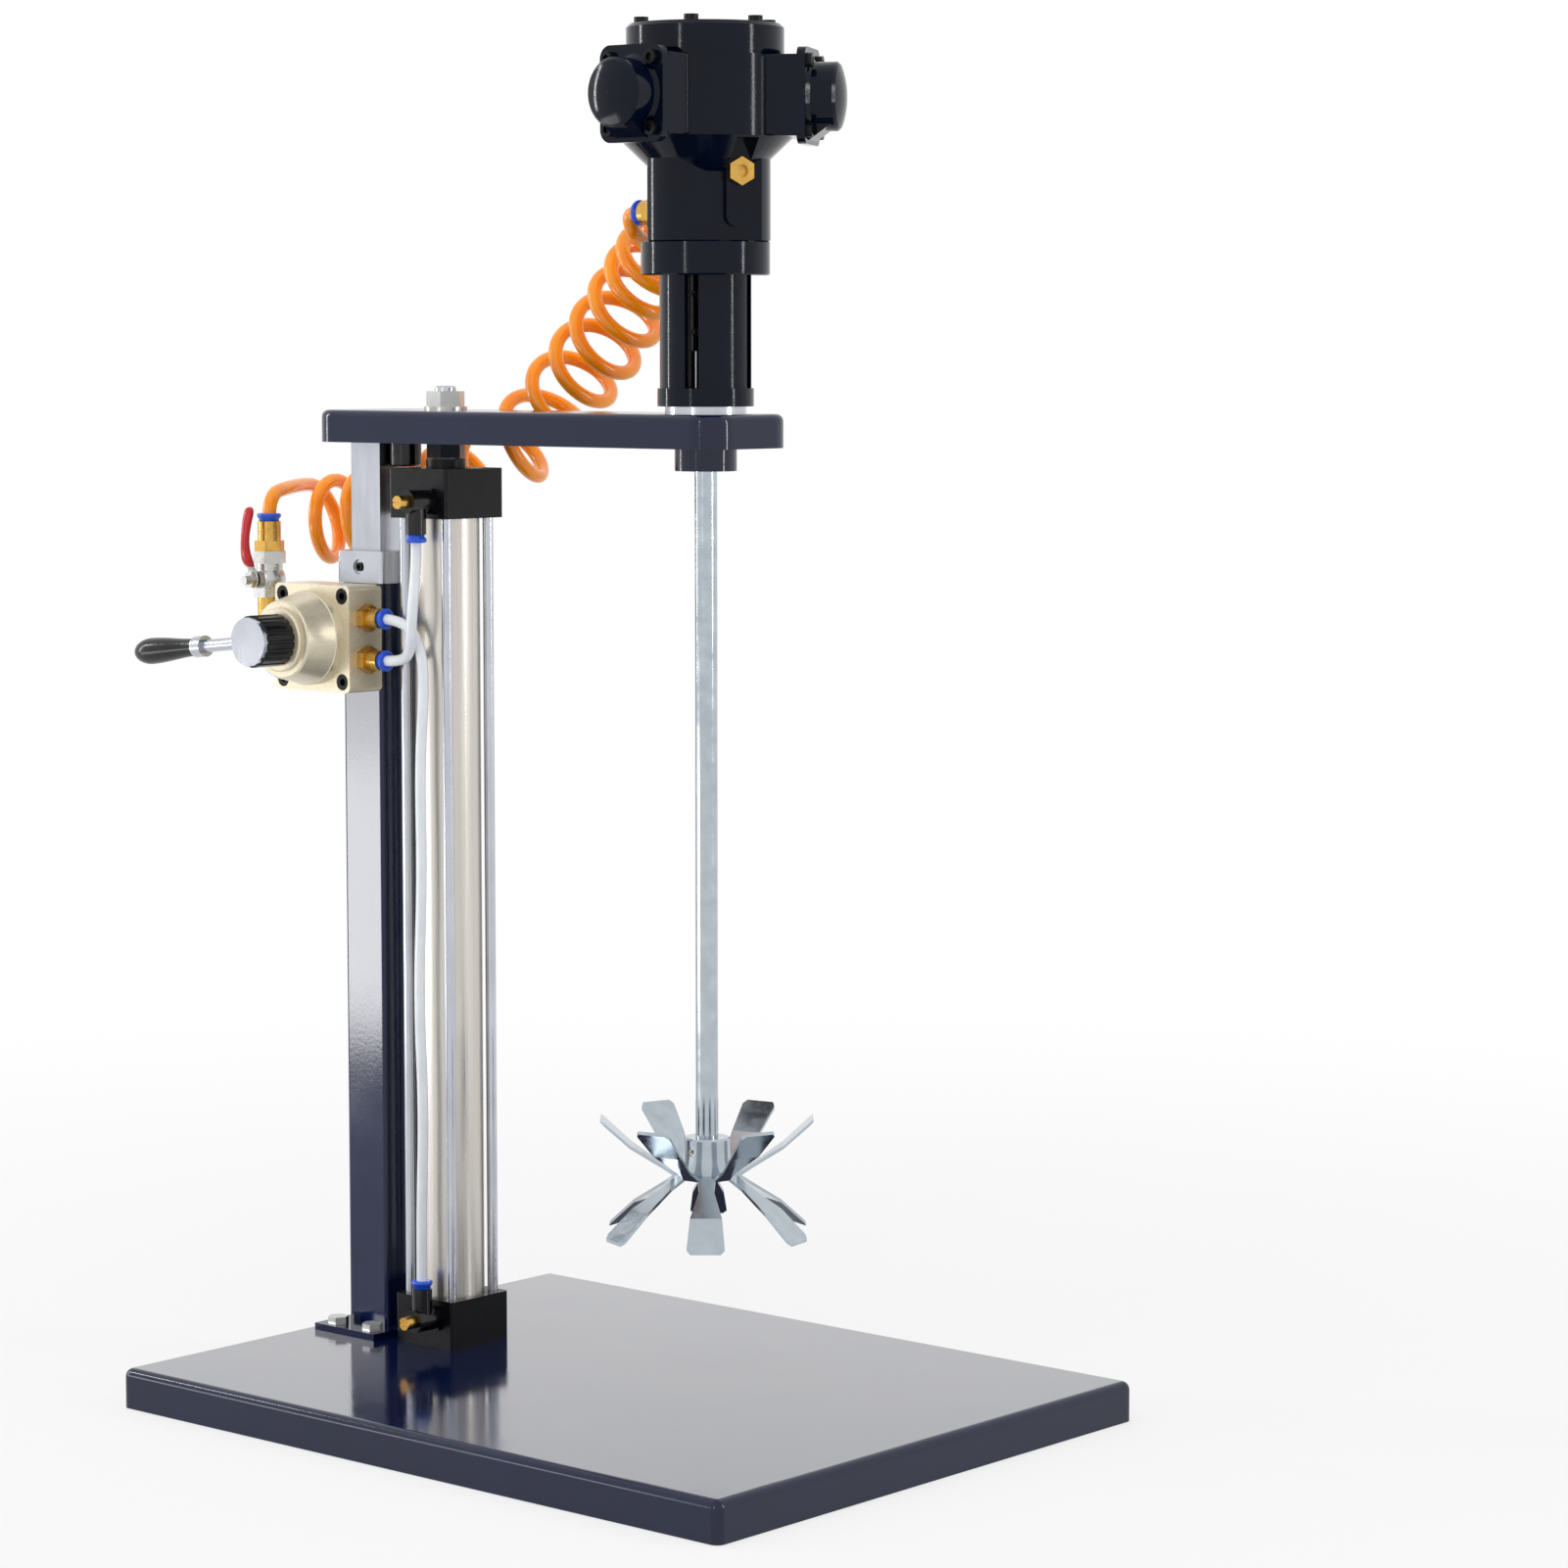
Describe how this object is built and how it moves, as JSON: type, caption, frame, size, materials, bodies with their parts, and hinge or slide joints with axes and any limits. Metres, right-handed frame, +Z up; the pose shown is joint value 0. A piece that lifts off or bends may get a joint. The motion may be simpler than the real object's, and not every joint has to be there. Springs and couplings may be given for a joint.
{
  "type": "pneumatic paint mixer on a lift stand",
  "caption": "Air-driven paint mixer: a radial piston motor turns a bladed impeller, carried on an arm that a pneumatic cylinder lifts from a flat base.",
  "frame": {"origin": "centre of the base's underside, on the bench", "axes": "+Z up; +X from the column along the arm to the mixing shaft; -Y towards the side with the hand valve"},
  "size_m": [0.5264, 0.34, 0.753],
  "materials": {
    "black_gloss": "gloss",
    "motor_black": "satin",
    "anodised_black": "satin",
    "champagne": "satin",
    "bright_steel": "bright",
    "stainless": "polished",
    "zinc": "plated",
    "barrel_aluminium": "anodised",
    "brass": "bright",
    "bronze": "turned",
    "black_plastic": "gloss",
    "blue_plastic": "gloss",
    "red_vinyl": "gloss",
    "orange_hose": "gloss",
    "milky_tube": "translucent",
    "seal_rubber": "matt"
  },
  "bodies": {
    "stand": {"base_tray": "black_gloss", "base_bottom_plate": "black_gloss", "column": "black_gloss", "base_bolts": "zinc", "guide_collar": "bright_steel", "socket_screws": "zinc", "cylinder_bottom_cap": "anodised_black", "cylinder_top_cap": "anodised_black", "cylinder_tube": "barrel_aluminium", "tie_rods": "bright_steel", "cylinder_screws": "zinc", "rod_bush": "bronze", "rod_wiper": "seal_rubber", "speed_controllers": "black_plastic", "release_collars": "blue_plastic", "valve_body": "champagne", "valve_cover": "champagne", "valve_port_fittings": "brass", "inlet_elbow": "brass", "ball_valve_body": "zinc", "hose_adapter": "brass", "upper_air_tube": "milky_tube", "lower_air_tube": "milky_tube", "coiled_hose": "orange_hose", "hose_lower_tail": "orange_hose"},
    "lift": {"arm": "black_gloss", "piston_rod": "bright_steel", "piston": "barrel_aluminium", "piston_seals": "seal_rubber", "rod_nuts": "zinc", "guide_bar": "bright_steel", "arm_stop": "black_plastic", "motor_spacer": "bright_steel", "lantern": "motor_black", "motor_screws": "anodised_black", "motor_housing": "motor_black", "crankcase": "motor_black", "motor_lid": "motor_black", "cylinder_heads": "motor_black", "brass_plug": "brass", "inlet_fitting": "brass", "hose_upper_collar": "blue_plastic", "shaft_bearings": "bright_steel", "shaft_collar": "black_gloss", "shaft_bush": "bronze", "hose_upper_tail": "orange_hose"},
    "rotor": {"motor_shaft": "bright_steel", "coupling": "anodised_black", "set_screws": "zinc", "mixing_shaft": "stainless", "impeller": "stainless"},
    "valve_lever": {"valve_spindle": "bright_steel", "lever_skirt": "black_plastic", "lever_rod": "zinc", "lever_grip": "black_plastic"},
    "ball_lever": {"valve_ball": "stainless", "ball_stem": "zinc", "red_lever": "red_vinyl"},
    "upper_screw": {"upper_speed_screw": "brass"},
    "lower_screw": {"lower_speed_screw": "brass"}
  },
  "joints": [
    {"name": "lift_slide", "type": "slide", "parent": "stand", "child": "lift", "axis": [0, 0, 1], "range_m": [0, 0.4], "deforming": ["coiled_hose"]},
    {"name": "shaft_spin", "type": "hinge", "parent": "lift", "child": "rotor", "pos_m": [0.061, 0, 0.6], "axis": [0, 0, 1], "continuous": true},
    {"name": "valve_turn", "type": "hinge", "parent": "stand", "child": "valve_lever", "pos_m": [-0.2, -0.08, 0.4195], "axis": [0, 1, 0], "range_deg": [-45, 45]},
    {"name": "ball_valve_turn", "type": "hinge", "parent": "stand", "child": "ball_lever", "pos_m": [-0.248, -0.0355, 0.4502], "axis": [0, -1, 0], "range_deg": [0, 90]},
    {"name": "upper_speed_turn", "type": "hinge", "parent": "stand", "child": "upper_screw", "pos_m": [-0.124, -0.04, 0.49725], "axis": [0, 1, 0], "range_deg": [-180, 180]},
    {"name": "lower_speed_turn", "type": "hinge", "parent": "stand", "child": "lower_screw", "pos_m": [-0.124, -0.04, 0.03975], "axis": [0, 1, 0], "range_deg": [-180, 180]}
  ]
}
